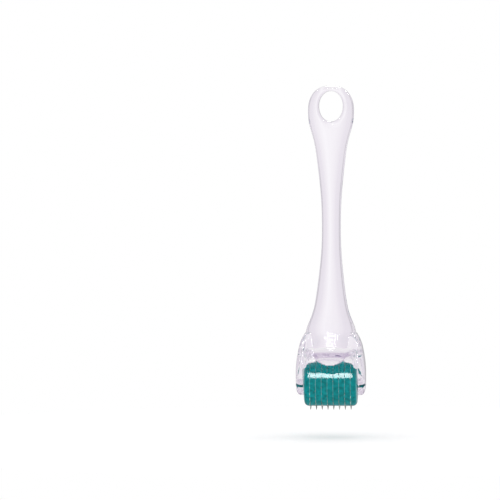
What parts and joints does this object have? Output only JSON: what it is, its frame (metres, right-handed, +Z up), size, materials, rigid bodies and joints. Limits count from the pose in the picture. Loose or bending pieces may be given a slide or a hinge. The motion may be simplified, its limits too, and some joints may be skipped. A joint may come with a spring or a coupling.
{
  "type": "derma roller",
  "caption": "Hand-held derma roller: a clear one-piece handle with a hang hole and a fork, and a free-rolling drum of short steel needles between its arms.",
  "frame": {"origin": "centre of the oval hang hole in the paddle, where a wall hook carries the roller", "axes": "+Z up along the handle away from the drum, X along the drum's axle, -Y the front"},
  "size_m": [0.0312, 0.0242, 0.1449],
  "materials": {
    "clear_plastic": "clear, polished, a faint lilac cast",
    "drum_plastic": "translucent teal, moulded gloss",
    "needle_steel": "fine ground steel"
  },
  "bodies": {
    "handle": {"handle": "clear_plastic"},
    "drum": {"drum_axle": "drum_plastic", "end_disc_left": "drum_plastic", "end_disc_right": "drum_plastic", "drum_disc_1": "drum_plastic", "drum_disc_2": "drum_plastic", "drum_disc_3": "drum_plastic", "drum_disc_4": "drum_plastic", "drum_disc_5": "drum_plastic", "drum_disc_6": "drum_plastic", "drum_disc_7": "drum_plastic", "needle_ring_1": "needle_steel", "needle_ring_2": "needle_steel", "needle_ring_3": "needle_steel", "needle_ring_4": "needle_steel", "needle_ring_5": "needle_steel", "needle_ring_6": "needle_steel", "needle_ring_7": "needle_steel", "needle_ring_8": "needle_steel"}
  },
  "joints": [
    {"name": "drum_spin", "type": "hinge", "parent": "handle", "child": "drum", "pos_m": [0, 0, -0.1236], "axis": [1, 0, 0], "continuous": true}
  ]
}
